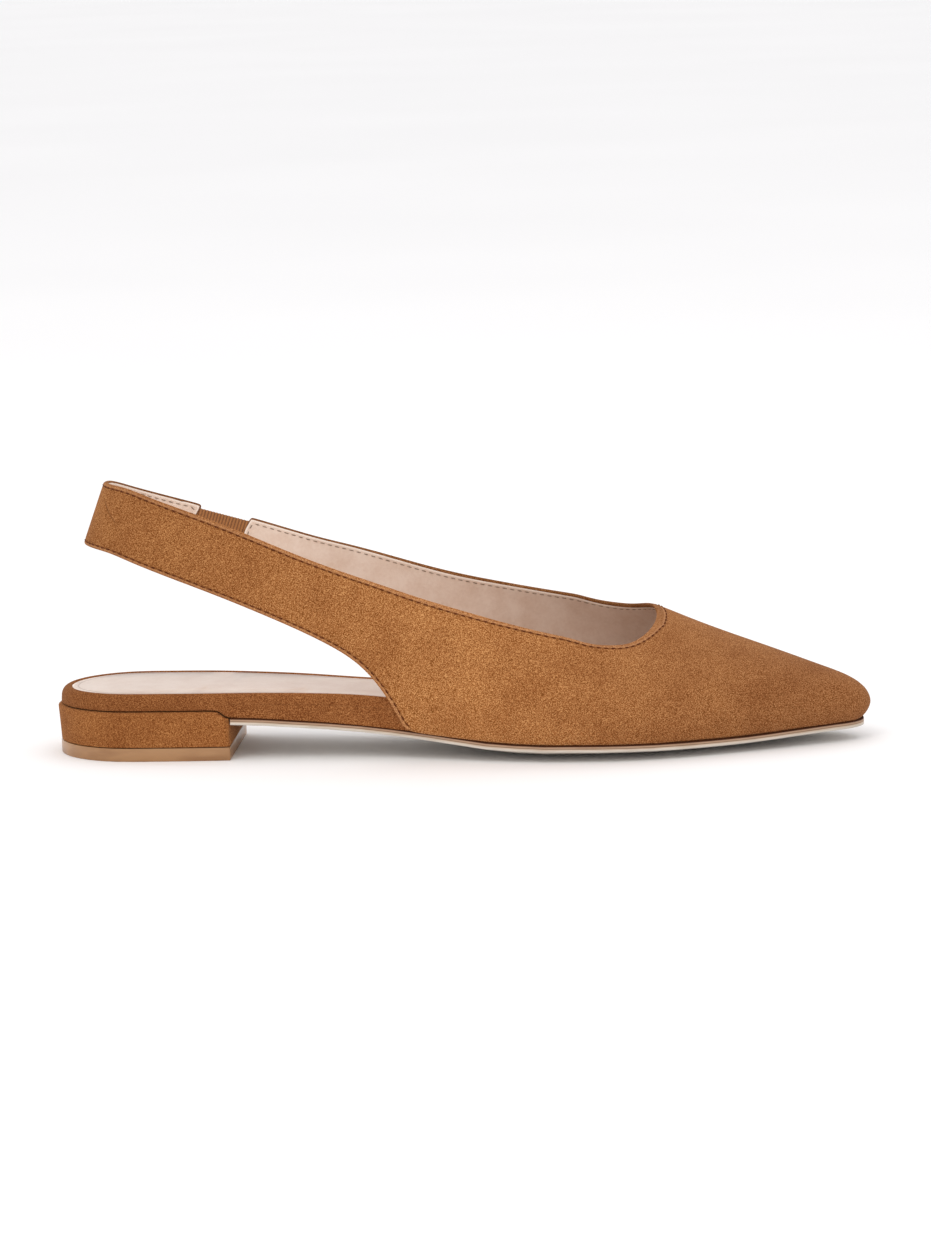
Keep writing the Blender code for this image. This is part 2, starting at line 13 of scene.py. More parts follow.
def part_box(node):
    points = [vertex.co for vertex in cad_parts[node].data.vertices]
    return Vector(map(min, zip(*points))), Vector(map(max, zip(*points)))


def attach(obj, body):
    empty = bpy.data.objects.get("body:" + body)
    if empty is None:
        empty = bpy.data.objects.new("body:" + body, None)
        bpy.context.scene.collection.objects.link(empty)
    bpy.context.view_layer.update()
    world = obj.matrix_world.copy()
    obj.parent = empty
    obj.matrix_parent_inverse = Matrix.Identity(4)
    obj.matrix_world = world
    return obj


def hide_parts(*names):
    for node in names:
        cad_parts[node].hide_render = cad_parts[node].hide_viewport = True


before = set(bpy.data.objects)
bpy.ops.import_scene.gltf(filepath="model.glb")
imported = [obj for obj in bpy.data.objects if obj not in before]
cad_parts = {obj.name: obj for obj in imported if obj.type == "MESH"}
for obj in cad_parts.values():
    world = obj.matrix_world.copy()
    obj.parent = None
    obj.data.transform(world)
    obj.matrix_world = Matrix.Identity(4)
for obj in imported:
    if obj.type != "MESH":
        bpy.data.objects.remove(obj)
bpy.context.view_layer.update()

bl_info = {
    "name": "Sling back flat",
    "version": (1, 0, 0),
    "blender": (4, 5, 0),
    "location": "View3D > Sidebar > Flat",
    "description": "Builds the suede, stitching, lining, elastic and sole finish of a sling back flat",
    "category": "Object",
}

MM = 0.001
BODY = "root"
UP = Vector((0.0, 0.0, 1.0))

# The photograph's frame and the camera that took it.
IMAGE_SIZE = (931, 1241)
SENSOR = 36.0
FOCAL_PIXELS = 4896.0
CAMERA_AZIMUTH = math.radians(4.0)
CAMERA_ELEVATION = math.radians(9.0)
CAMERA_ROLL = math.radians(-1.5)
CAMERA_DISTANCE = 1.6
CAMERA_TARGET = Vector((105.2 * MM, 0.0, 40.8 * MM))

# Half the floor's side, the world's light, and the lamps: place, disk size, watts and tint.
FLOOR_REACH = 12.0
WORLD_TINT = "#fdfdfe"
WORLD_STRENGTH = 0.97
LAMPS = {
    "key": ((-0.35, -1.1, 1.5), 1.2, 6.5, "#fffaf2"),
    "top": ((0.25, 0.25, 1.6), 1.4, 3.0, "#ffffff"),
}
LAMP_AIM = Vector((0.1, 0.0, 0.03))

# Fine crease that the strap keeps behind the ankle: an arc in the shoe's x and z, darkened by painted shade.
CREASE_CENTRE = (2.8 * MM, 87.3 * MM)
CREASE_RADIUS = 14.0 * MM
CREASE_WIDTH = 0.45 * MM
CREASE_MIDDLE = 80.4 * MM
CREASE_HALF = 4.2 * MM

# Stretch in x over which painted shade tones the suede, darker behind the ankle and darker and redder at
# the toe, and darkens the lining browner towards the toe.
SHADE_ENDS = (-30.0 * MM, 240.0 * MM)
SUEDE_SHADE_STOPS = ((0.0, "#dcd6d2"), (0.22, "#ece7e4"), (0.38, "#f8f6f5"), (0.52, "#fffefe"), (0.90, "#d8d2d7"))
LINING_SHADE_STOPS = ((0.30, "#ffffff"), (0.52, "#f3efec"), (0.78, "#d9d0ca"))

# Stretch in y over which painted shade darkens the turned edge towards the far side.
FAR_SHADE_ENDS = (-12.0 * MM, 16.0 * MM)
FAR_SHADE_STOPS = ((0.0, "#ffffff"), (1.0, "#c6c2bf"))

# Broad patches where the nap lies another way.
PATCH_STOPS = ((0.30, "#e4dad2"), (0.50, "#f3efed"), (0.72, "#ffffff"))

# The sole's cut edge from its tread to its top: pale band, scribed line, burnished band, dark ink.
SOLE_BANDS = (
    (0.0, "#c6bfb5"), (0.24, "#d6ccc0"), (0.42, "#cfbda9"), (0.53, "#bfa489"), (0.58, "#7c5c42"),
    (0.64, "#7c5c42"), (0.69, "#b7957a"), (0.90, "#a98669"), (0.97, "#6a3d1d"), (1.0, "#5a3014"),
)

# The elastic's ribs lean with the strap by this share of their height, and its ends are tucked into the
# strap. Cuts through each of its long edges carry the ribs.
RIB_SLANT = 0.34
GORE_TUCK = 0.9 * MM
GORE_CUTS = 9

# Section of the suede roll round the sock: share of the way out to the footbed's side, and height
# against the sock's top. The roll ends where the upper hides it. The footbed's side is looked for at
# SIDE_DEPTH under the sock's top and within ROLL_REACH, and is ROLL_USUAL away where none is found.
ROLL_PROFILE = (
    (-0.09, -0.45 * MM), (0.0, -0.04 * MM), (0.14, 0.30 * MM), (0.34, 0.42 * MM),
    (0.56, 0.16 * MM), (0.76, -0.52 * MM), (0.91, -1.42 * MM), (0.985, -2.35 * MM), (0.985, -3.10 * MM),
)
ROLL_FRONT = 95.0 * MM
ROLL_REACH = 3.6 * MM
ROLL_USUAL = 3.0 * MM
SIDE_DEPTH = 3.2 * MM

# Rounding of the footbed's edges, of the heel's corners, top and foot, and of the lift.
BED_ROUND = 0.8 * MM
HEEL_CORNER = 1.7 * MM
HEEL_SHOULDER = 0.9 * MM
HEEL_FOOT = 0.4 * MM
LIFT_ROUND = 0.35 * MM

# Dark tube over the sole, a painted shadow in the gap: its radius, and how far it lies in from the sole's
# edge and over it.
SEAM_RADIUS = 0.30 * MM
SEAM_INSET = 0.34 * MM
SEAM_RISE = 0.20 * MM

# Half the width of the channel that a stitch row presses, passes that even out its line, the share of
# its distance that a row keeps to each edge, and the points that an edge needs to carry a row.
CHANNEL = 0.34 * MM
ROW_SMOOTHING = 8
ROW_CLEAR = 0.88
ROW_POINTS = 8

# How far the painted shade in a channel spreads from its row, to the edge and away from it, how near the
# row the paler edge band comes, and half the width of a line pressed in leather.
CHANNEL_SHADE = (0.22 * MM, 0.30 * MM)
PALE_BAND_GAP = 0.26 * MM
PRESSED_LINE = 0.22 * MM

# The fold beside a row swells by this share of the groove, most at this share of the way to the row.
# The lining's rows are finer. A stitch rises over the surface by a share of its thickness.
PUFF = 0.5
PUFF_PLACE = 0.4
LINING_GROOVE = 0.6
LINING_THREAD = 0.8
STITCH_RISE = 0.12

# Pale bead of a trimmed leather edge.
LINING_BEAD = 0.55 * MM
SOCK_BEAD = 0.60 * MM

# Past these shares of its direction a face is an end, and an edge runs lengthwise or upright.
END_FACE = 0.8
LENGTHWISE = 0.75
UPRIGHT = 0.8

# An edge of the upper this near the sole is its lasted foot, which has no fold and no stitches. So is one
# that lies this low and climbs by less than this share of its length.
FOOT_CLEARANCE = 1.2 * MM
FOOT_TOP = 16.0 * MM
FOOT_CLIMB = 0.45

# Angle between two faces past which an edge of a CAD solid is a real edge.
SHARP = math.radians(47)

# Points this close are one, and triangles join to a quad within these limits on its fold and shape.
MERGE = 0.002 * MM
QUAD_FOLD = math.radians(40)
QUAD_SHAPE = math.radians(70)

# What one step leaves for the next, and the finishes by name.
STATE = {}
MATERIALS = {}


def linear(hex_colour):
    """Linear RGBA of an sRGB hex colour."""
    values = [int(hex_colour[i : i + 2], 16) / 255 for i in (1, 3, 5)]
    return (*(v / 12.92 if v <= 0.04045 else ((v + 0.055) / 1.055) ** 2.4 for v in values), 1.0)


def feed(tree, node, inputs):
    """Fills a node's inputs, by name or number, with sockets to link or with plain values."""
    for key, value in inputs.items():
        if isinstance(value, bpy.types.NodeSocket):
            tree.links.new(value, node.inputs[key])
        else:
            node.inputs[key].default_value = value


def add(tree, kind, inputs, out=0, stops=(), **settings):
    """Adds a node with its settings and links, and returns the output asked for, or all of them where
    out is None. stops are the places and colours of a ramp."""
    made = tree.nodes.new("ShaderNode" + kind)
    for name, value in settings.items():
        setattr(made, name, value)
    if stops:
        elements = made.color_ramp.elements
        while len(elements) < len(stops):
            elements.new(0.5)
        for element, (place, colour) in zip(elements, stops):
            element.position = place
            element.color = linear(colour) if isinstance(colour, str) else colour
    feed(tree, made, inputs)
    return made.outputs if out is None else made.outputs[out]


def new_material(name, values):
    """A material with values on its shader's own sockets. Its tree, shader and Object coordinates come
    with it."""
    made = bpy.data.materials.new(name)
    made.use_nodes = True
    tree = made.node_tree
    shader = tree.nodes["Principled BSDF"]
    feed(tree, shader, values)
    return made, tree, shader, add(tree, "TexCoord", {}, out="Object")


def weighted(tree, *parts):
    """Sum of patterns, each times its weight."""
    total = 0.0
    for pattern, weight in parts:
        total = add(tree, "Math", {0: pattern, 1: weight, 2: total}, operation="MULTIPLY_ADD")
    return total


def painted(tree, colour, mask, strength, tint):
    """A colour turned towards a tint where the mask is 1, as far as strength says."""
    factor = add(tree, "Math", {0: mask, 1: strength}, operation="MULTIPLY")
    return add(tree, "Mix", {0: factor, 6: colour, 7: linear(tint)}, out=2, data_type="RGBA")


def shaded(tree, colour, pattern, stops, factor=1.0):
    """A colour times a ramp over a pattern."""
    shade = add(tree, "ValToRGB", {"Fac": pattern}, stops=stops)
    return add(
        tree, "Mix", {0: factor, 6: colour, 7: shade}, out=2, data_type="RGBA", blend_type="MULTIPLY"
    )


def share_along(tree, coords, axis, ends):
    """Runs from 0 at one end of a stretch along an axis to 1 at the other."""
    place = add(tree, "SeparateXYZ", {"Vector": coords}, out=axis)
    return add(tree, "MapRange", {"Value": place, "From Min": ends[0], "From Max": ends[1]})


def within(tree, value, *bounds):
    """1 where a value is inside its bounds, with a soft step at each. A bound is the value at which the
    mask is gone and the one at which it is full."""
    mask = 1.0
    for gone, full in bounds:
        ends = {"Value": value, "From Min": gone, "From Max": full}
        step = add(tree, "MapRange", ends, interpolation_type="SMOOTHSTEP")
        mask = add(tree, "Math", {0: step, 1: mask}, operation="MULTIPLY")
    return mask


def crease_mask(tree, coords):
    """1 along the fine curved crease behind the ankle on the lateral strap, falling to 0 beside it."""
    axes = add(tree, "SeparateXYZ", {"Vector": coords}, out=None)
    across = add(tree, "Math", {0: axes["X"], 1: CREASE_CENTRE[0]}, operation="SUBTRACT")
    height = add(tree, "Math", {0: axes["Z"], 1: CREASE_CENTRE[1]}, operation="SUBTRACT")
    flat = add(tree, "CombineXYZ", {"X": across, "Y": height})
    radius = add(tree, "VectorMath", {0: flat}, out="Value", operation="LENGTH")
    beside = add(tree, "Math", {0: radius, 1: CREASE_RADIUS}, operation="SUBTRACT")
    off = add(tree, "Math", {0: beside}, operation="ABSOLUTE")
    above = add(tree, "Math", {0: axes["Z"], 1: CREASE_MIDDLE}, operation="SUBTRACT")
    middle = add(tree, "Math", {0: above}, operation="ABSOLUTE")
    mask = within(tree, off, (CREASE_WIDTH, 0.0))
    for part in (
        within(tree, middle, (CREASE_HALF, CREASE_HALF * 0.55)),
        add(tree, "Math", {0: axes["Y"], 1: 0.0}, operation="LESS_THAN"),
        add(tree, "Math", {0: axes["X"], 1: CREASE_CENTRE[0]}, operation="LESS_THAN"),
    ):
        mask = add(tree, "Math", {0: mask, 1: part}, operation="MULTIPLY")
    return mask


def edge_zone(tree, low, high, soft=0.12 * MM):
    """1 where the distance to the folded edge lies between low and high, in metres."""
    gap = add(tree, "Attribute", {}, out="Fac", attribute_name="edge")
    bounds = [(high + soft, high - soft)]
    if low > 0.0:
        bounds.append((low - soft, low + soft))
    return within(tree, gap, *bounds)


def suede(name, tones, creased=False, inset=0.0, turned=False):
    """Brushed calf suede: a short nap that scatters light, so it has no gloss, with fine light and dark
    fibre ends, broad patches where the nap lies another way, and painted shade, darker behind the ankle
    and darker and redder towards the toe. inset is the distance from a folded edge to its stitch row."""
    made, tree, shader, coords = new_material(name, {
        "Roughness": 0.95, "IOR": 1.45, "Specular IOR Level": 0.12, "Sheen Weight": 0.10,
        "Sheen Roughness": 0.5, "Sheen Tint": linear("#e8b888"),
    })
    # Fibre bundles are 0.1 mm across and are drawn at 0.28 mm, so that they show.
    fibres = add(
        tree, "TexNoise", {"Vector": coords, "Scale": 1 / (0.28 * MM), "Detail": 1.0, "Roughness": 0.6}
    )
    tufts = add(
        tree, "TexNoise", {"Vector": coords, "Scale": 1 / (0.8 * MM), "Detail": 2.0, "Roughness": 0.7}
    )
    patches = add(
        tree, "TexNoise", {"Vector": coords, "Scale": 1 / (14.0 * MM), "Detail": 3.0, "Roughness": 0.5}
    )
    height = weighted(tree, (fibres, 0.9), (tufts, 0.1))
    colour = add(tree, "ValToRGB", {"Fac": height}, stops=tuple(zip((0.38, 0.50, 0.62), tones)))
    colour = shaded(tree, colour, patches, PATCH_STOPS, 0.85)
    # Painted shade: darker behind the ankle and towards the toe.
    colour = shaded(tree, colour, share_along(tree, coords, "X", SHADE_ENDS), SUEDE_SHADE_STOPS)
    if turned:
        # Painted shade: the turned edge darkens towards the far side.
        colour = shaded(tree, colour, share_along(tree, coords, "Y", FAR_SHADE_ENDS), FAR_SHADE_STOPS)
    if creased:
        # The crease is pressed in by the bump, and painted shade darkens it.
        crease = crease_mask(tree, coords)
        colour = painted(tree, colour, crease, 0.55, "#5f3516")
        height = weighted(tree, (height, 1.0), (crease, -1.2))
    if inset:
        # The band along the turned edge is paler, and painted shade darkens the channel that the stitches
        # press beside it.
        colour = painted(tree, colour, edge_zone(tree, 0.0, inset - PALE_BAND_GAP), 0.20, "#d6a37c")
        pressed = edge_zone(tree, inset - CHANNEL_SHADE[0], inset + CHANNEL_SHADE[1])
        colour = painted(tree, colour, pressed, 0.55, "#6b3d1b")
    nap = add(tree, "Bump", {"Height": height, "Distance": 0.20 * MM, "Strength": 0.5})
    feed(tree, shader, {"Base Color": colour, "Normal": nap})
    return made


def leather(name, tones, roughness, pore=0.9 * MM, bead=0.0, line=0.0, toe_shaded=False):
    """Finished lining leather: smooth and faintly glossy, with fine pores between raised pebbles. bead is
    the width of its pale trimmed edge, and line the distance from that edge to a pressed line."""
    made, tree, shader, coords = new_material(
        name, {"Roughness": roughness, "IOR": 1.5, "Coat Weight": 0.05, "Coat Roughness": 0.4}
    )
    height = add(tree, "TexVoronoi", {"Vector": coords, "Scale": 1 / pore}, out="Distance")
    clouds = add(
        tree, "TexNoise", {"Vector": coords, "Scale": 1 / (9.0 * MM), "Detail": 4.0, "Roughness": 0.55}
    )
    specks = add(
        tree, "TexNoise", {"Vector": coords, "Scale": 1 / (1.2 * MM), "Detail": 3.0, "Roughness": 0.7}
    )
    tone = weighted(tree, (clouds, 0.65), (specks, 0.35))
    colour = add(tree, "ValToRGB", {"Fac": tone}, stops=tuple(zip((0.34, 0.62), tones)))
    if toe_shaded:
        # Painted shade: the lining darkens browner towards the toe.
        colour = shaded(tree, colour, share_along(tree, coords, "X", SHADE_ENDS), LINING_SHADE_STOPS)
    if bead:
        # The trimmed edge turns up beside the suede as a pale bead.
        colour = painted(tree, colour, edge_zone(tree, 0.0, bead), 0.85, "#f3e3d5")
    if line:
        # A line is pressed in beside the cut edge.
        pressed = edge_zone(tree, line - PRESSED_LINE, line + PRESSED_LINE)
        colour = painted(tree, colour, pressed, 0.55, "#a58c7d")
        height = weighted(tree, (height, 1.0), (pressed, -1.5))
    grain = add(tree, "Bump", {"Height": height, "Distance": 0.05 * MM, "Strength": 0.5})
    feed(tree, shader, {"Base Color": colour, "Normal": grain})
    return made


def thread(name, tones):
    """Spun polyester thread: tight, twisted and nearly matt."""
    made, tree, shader, coords = new_material(
        name, {"Roughness": 0.85, "IOR": 1.5, "Specular IOR Level": 0.12}
    )
    twist = add(tree, "TexNoise", {"Vector": coords, "Scale": 1 / (0.4 * MM), "Detail": 2.0})
    colour = add(tree, "ValToRGB", {"Fac": twist}, stops=tuple(zip((0.4, 0.6), tones)))
    plies = add(tree, "Bump", {"Height": twist, "Distance": 0.08 * MM, "Strength": 0.5})
    feed(tree, shader, {"Base Color": colour, "Normal": plies})
    return made


def elastic(name, tones, pitch):
    """Woven covered elastic: matt textile ribs with painted shade in the valleys between them, and a dull
    thread weave.
    """
    made, tree, shader, coords = new_material(name, {"Roughness": 0.85, "IOR": 1.5, "Sheen Weight": 0.1})
    weave = add(
        tree, "TexNoise", {"Vector": coords, "Scale": 1 / (0.5 * MM), "Detail": 2.0, "Roughness": 0.6}
    )
    axes = add(tree, "SeparateXYZ", {"Vector": coords}, out=None)
    along = weighted(tree, (axes["X"], 1.0), (axes["Z"], -RIB_SLANT))
    turn = add(tree, "Math", {0: along, 1: math.tau / pitch}, operation="MULTIPLY")
    wave = add(tree, "Math", {0: turn}, operation="COSINE")
    rib = add(tree, "Math", {0: wave, 1: 0.5, 2: 0.5}, operation="MULTIPLY_ADD")
    tone = weighted(tree, (rib, 0.7), (weave, 0.3))
    # Painted shade: the ramp darkens the valleys between the ribs.
    colour = add(tree, "ValToRGB", {"Fac": tone}, stops=tuple(zip((0.12, 0.62), tones)))
    ribs = add(tree, "Bump", {"Height": tone, "Distance": 0.2 * MM, "Strength": 0.6})
    feed(tree, shader, {"Base Color": colour, "Normal": ribs})
    return made


def rubber(name, tones):
    """Moulded rubber lift: a satin skin with faint flow marks and fine scuffs."""
    made, tree, shader, coords = new_material(
        name, {"Roughness": 0.35, "IOR": 1.52, "Coat Weight": 0.15, "Coat Roughness": 0.3}
    )
    drawn = add(tree, "Mapping", {"Vector": coords, "Scale": (0.4, 1.0, 2.0)})
    flow = add(tree, "TexNoise", {"Vector": drawn, "Scale": 1 / (7.0 * MM), "Detail": 3.0})
    scuffs = add(
        tree, "TexNoise", {"Vector": coords, "Scale": 1 / (0.8 * MM), "Detail": 4.0, "Roughness": 0.7}
    )
    colour = add(tree, "ValToRGB", {"Fac": flow}, stops=tuple(zip((0.38, 0.62), tones)))
    marks = add(tree, "Bump", {"Height": scuffs, "Distance": 0.03 * MM, "Strength": 0.4})
    feed(tree, shader, {"Base Color": colour, "Normal": marks})
    return made


def sole_leather(name):
    """Vegetable tanned sole leather with a waxed cut edge: a burnished band with a scribed line over a
    pale band. share runs from 0 at the tread to 1 at the top of the edge."""
    made, tree, shader, coords = new_material(
        name, {"Roughness": 0.5, "IOR": 1.5, "Coat Weight": 0.08, "Coat Roughness": 0.35}
    )
    drawn = add(tree, "Mapping", {"Vector": coords, "Scale": (0.12, 0.12, 1.6)})
    layers = add(
        tree, "TexNoise", {"Vector": drawn, "Scale": 1 / (0.9 * MM), "Detail": 3.0, "Roughness": 0.6}
    )
    share = add(tree, "Attribute", {}, out="Fac", attribute_name="share")
    bands = add(tree, "ValToRGB", {"Fac": share}, stops=SOLE_BANDS)
    colour = shaded(tree, bands, layers, ((0.34, "#e6dfd8"), (0.62, "#ffffff")), 0.8)
    fibres = add(tree, "Bump", {"Height": layers, "Distance": 0.04 * MM, "Strength": 0.5})
    feed(tree, shader, {"Base Color": colour, "Normal": fibres})
    return made


def matt_paper(name):
    """Matt backing paper: white, without gloss, and barely clouded."""
    made, tree, shader, coords = new_material(name, {"Roughness": 0.9})
    clouds = add(tree, "TexNoise", {"Vector": coords, "Scale": 2.5, "Detail": 1.0})
    tone = add(tree, "ValToRGB", {"Fac": clouds}, stops=((0.3, "#fbfafa"), (0.7, "#fdfcfc")))
    feed(tree, shader, {"Base Color": tone})
    return made


def shade(name, hex_colour, description):
    """Colour property whose default is an sRGB hex colour."""
    return FloatVectorProperty(
        name=name, description=description, subtype="COLOR", default=linear(hex_colour)[:3]
    )


class FlatColours(bpy.types.PropertyGroup):
    """Colours of each finish, from its darkest tone to its lightest."""

    suede_dark: shade("Suede dark", "#7d4a1c", "Shade between the upper's fibres")
    suede_middle: shade("Suede", "#a96c3b", "Main colour of the upper")
    suede_light: shade("Suede light", "#d89f66", "Fibre ends of the upper")
    edge_dark: shade("Edge dark", "#875223", "Shade between the turned edge's fibres")
    edge_middle: shade("Edge", "#b07544", "Main colour of the turned edge")
    edge_light: shade("Edge light", "#d59e6c", "Fibre ends of the turned edge")
    heel_dark: shade("Heel dark", "#814a1d", "Shade between the heel cover's fibres")
    heel_middle: shade("Heel", "#a56839", "Main colour of the heel cover")
    heel_light: shade("Heel light", "#d2955a", "Fibre ends of the heel cover")
    # The footbed cover is the upper's suede in darker tones: painted shade low on the shoe.
    bed_dark: shade("Footbed dark", "#713f1a", "Shade between the footbed cover's fibres")
    bed_middle: shade("Footbed", "#945a30", "Main colour of the footbed cover")
    bed_light: shade("Footbed light", "#bd8350", "Fibre ends of the footbed cover")
    lining_dark: shade("Lining dark", "#dbbfab", "Darker clouds of the lining")
    lining_light: shade("Lining light", "#ebd6c6", "Lighter clouds of the lining")
    sock_dark: shade("Sock dark", "#d3bfb2", "Darker clouds of the sock")
    sock_light: shade("Sock light", "#decec3", "Lighter clouds of the sock")
    cut_dark: shade("Cut edge dark", "#ead9cd", "Darker clouds of the sock's cut edge")
    cut_light: shade("Cut edge light", "#f3e7dd", "Lighter clouds of the sock's cut edge")
    thread_dark: shade("Thread dark", "#4c220e", "Shade in the twist of the suede's thread")
    thread_light: shade("Thread light", "#6c3618", "Crown of the suede's thread")
    lining_thread_dark: shade("Lining thread dark", "#7b6757", "Shade in the twist of the lining's thread")
    lining_thread_light: shade("Lining thread light", "#a08a78", "Crown of the lining's thread")
    # The valleys' dark is painted shade.
    elastic_dark: shade("Elastic dark", "#744624", "Valleys between the ribs")
    elastic_light: shade("Elastic light", "#a46b39", "Crowns of the ribs")
    rubber_dark: shade("Lift dark", "#976b42", "Darker flow marks of the lift")
    rubber_light: shade("Lift light", "#a87c51", "Lighter flow marks of the lift")
    # The seam's colours are painted shadow in the gap over the sole.
    ink_dark: shade("Seam dark", "#331705", "Darker ink over the sole")
    ink_light: shade("Seam light", "#4a2409", "Lighter ink over the sole")


class FlatSizes(bpy.types.PropertyGroup):
    """Sizes of the stitch rows and trims."""

    edge_inset: FloatProperty(
        name="Edge inset", description="Stitch row to the folded edge", default=0.85 * MM, unit="LENGTH"
    )
    lining_inset: FloatProperty(
        name="Lining inset", description="Stitch row to the lining's edge", default=1.2 * MM, unit="LENGTH"
    )
    stitch_pitch: FloatProperty(
        name="Stitch pitch", description="Start of one stitch to the next", default=2.5 * MM, unit="LENGTH"
    )
    stitch_length: FloatProperty(
        name="Stitch length", description="Thread that shows in one stitch", default=1.6 * MM, unit="LENGTH"
    )
    thread_width: FloatProperty(
        name="Thread width", description="Thickness of the thread", default=0.46 * MM, unit="LENGTH"
    )
    groove: FloatProperty(
        name="Groove", description="Depth that a stitch row pulls in", default=0.16 * MM, unit="LENGTH"
    )
    rib_pitch: FloatProperty(
        name="Rib pitch", description="Rib to rib on the elastic", default=1.1 * MM, unit="LENGTH"
    )
    rib_depth: FloatProperty(
        name="Rib depth", description="Height of a rib", default=0.16 * MM, unit="LENGTH"
    )
    sock_inset: FloatProperty(
        name="Sock line", description="Pressed line to the sock's edge", default=1.9 * MM, unit="LENGTH"
    )
    bed_roll: FloatProperty(
        name="Footbed roll", description="Fullness of the roll round the sock", default=1.0, subtype="FACTOR"
    )
    smoothing: IntProperty(name="Smoothing", description="Subdivision of the upper", default=2, min=1, max=3)


def copy_solid(node, join=True):
    """A merged copy of a CAD solid, its triangles joined to the quads that they came from."""
    bm = bmesh.new()
    bm.from_mesh(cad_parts[node].data)
    bmesh.ops.remove_doubles(bm, verts=bm.verts, dist=MERGE)
    if join:
        bmesh.ops.join_triangles(
            bm, faces=bm.faces, angle_face_threshold=QUAD_FOLD, angle_shape_threshold=QUAD_SHAPE
        )
    bmesh.ops.recalc_face_normals(bm, faces=bm.faces)
    return bm


def solid_tree(node, join=True):
    """Nearest-point tree of a CAD solid."""
    bm = copy_solid(node, join)
    made = BVHTree.FromBMesh(bm)
    bm.free()
    return made


def link(name, data):
    """A new object at the origin, in the scene."""
    made = bpy.data.objects.new(name, data)
    bpy.context.scene.collection.objects.link(made)
    return made


def finish(bm, name, finishes, replaced=(), levels=0, smooth=True):
    """Turns a mesh into a piece with named finishes that rides on the shoe."""
    mesh = bpy.data.meshes.new(name)
    bm.to_mesh(mesh)
    bm.free()
    for key in finishes:
        mesh.materials.append(MATERIALS[key])
    if smooth:
        mesh.shade_smooth()
    piece = link(name, mesh)
    if levels:
        divide = piece.modifiers.new("smooth", "SUBSURF")
        divide.levels = divide.render_levels = levels
    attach(piece, BODY)
    if replaced:
        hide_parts(*replaced)
    return piece


def apply_modifiers(piece):
    """Bakes a piece's modifiers into its mesh."""
    evaluated = piece.evaluated_get(bpy.context.evaluated_depsgraph_get())
    made = bpy.data.meshes.new_from_object(evaluated)
    piece.modifiers.clear()
    old, piece.data = piece.data, made
    bpy.data.meshes.remove(old)


def is_sharp(edge):
    """A real edge of the solid, where two of its faces meet at a corner."""
    return len(edge.link_faces) == 2 and edge.calc_face_angle() > SHARP


def middle_of(edge):
    return (edge.verts[0].co + edge.verts[1].co) / 2


def direction_of(edge):
    return (edge.verts[1].co - edge.verts[0].co).normalized()


def soften(bm, edges, width, segments=2, clamp=True):
    """Rounds edges off."""
    bmesh.ops.bevel(
        bm, geom=edges, offset=width, segments=segments, affect="EDGES", profile=0.5, material=-1,
        clamp_overlap=clamp,
    )


def regions(bm):
    """Groups of faces that no sharp edge divides, the largest first."""
    left = set(bm.faces)
    found = []
    while left:
        seed = left.pop()
        group, open_faces = [seed], [seed]
        while open_faces:
            face = open_faces.pop()
            for edge in face.edges:
                if len(edge.link_faces) != 2 or is_sharp(edge):
                    continue
                for other in edge.link_faces:
                    if other in left:
                        left.discard(other)
                        group.append(other)
                        open_faces.append(other)
        found.append(group)
    return sorted(found, key=lambda group: -sum(face.calc_area() for face in group))


def top_skin(bm):
    """Upward one of a thin solid's two skins."""
    return max(regions(bm)[:2], key=lambda group: sum(f.normal.z for f in group) / len(group))


def border_of(faces):
    """Edges between a group of faces and the rest of its mesh."""
    inside = set(faces)
    return {e for face in inside for e in face.edges if any(other not in inside for other in e.link_faces)}


def chains(edges):
    """Ordered runs of vertices along joined edges, a closed run ending where it began."""
    left = set(edges)
    found = []
    while left:
        counts = {}
        for edge in left:
            for vertex in edge.verts:
                counts[vertex] = counts.get(vertex, 0) + 1
        ends = sorted((v for v, n in counts.items() if n == 1), key=lambda v: tuple(v.co))
        start = ends[0] if ends else min(counts, key=lambda v: tuple(v.co))
        run = [start]
        while True:
            step = next((e for e in run[-1].link_edges if e in left), None)
            if step is None:
                break
            left.discard(step)
            run.append(step.other_vert(run[-1]))
        found.append(run)
    return sorted(found, key=lambda run: -len(run))


def edge_tree(edges):
    """Tree of points set closely along edges."""
    tree = KDTree(len(edges) * 4)
    for i, edge in enumerate(edges):
        for k in range(4):
            tree.insert(edge.verts[0].co.lerp(edge.verts[1].co, k / 4), i * 4 + k)
    tree.balance()
    return tree


def halved(points):
    """Points of a Catmull-Rom curve, with one more half way between each two."""
    made = []
    for i, (a, b) in enumerate(zip(points, points[1:])):
        before = points[max(i - 1, 0)]
        after = points[min(i + 2, len(points) - 1)]
        made += [a, (9 * (a + b) - before - after) / 16]
    return made + [points[-1]]


def walk(points, pitch):
    """Places a pitch apart along a line, each with its direction."""
    places = []
    due = pitch / 2
    for a, b in zip(points, points[1:]):
        length = (b - a).length
        while due <= length and length > 0:
            places.append((a.lerp(b, due / length), (b - a).normalized()))
            due += pitch
        due -= length
    return places


def stitch_row(bm, points, surface, sizes, width):
    """Adds thread stitches along a line, each lying on the surface with its ends sunk in."""
    thick = sizes.thread_width * width
    shape = Matrix.Diagonal((sizes.stitch_length / 2, thick / 2, thick / 2, 1.0))
    lying = Matrix.Rotation(math.pi / 2, 4, "Y")
    for place, direction in walk(halved(points), sizes.stitch_pitch):
        on_surface, normal, _, _ = surface.find_nearest(place)
        side = normal.cross(direction).normalized()
        ahead = side.cross(normal).normalized()
        turn = Matrix((ahead, side, normal)).transposed().to_4x4()
        at = Matrix.Translation(on_surface + normal * thick * STITCH_RISE)
        bmesh.ops.create_uvsphere(
            bm, u_segments=8, v_segments=5, radius=1.0, matrix=at @ turn @ shape @ lying
        )


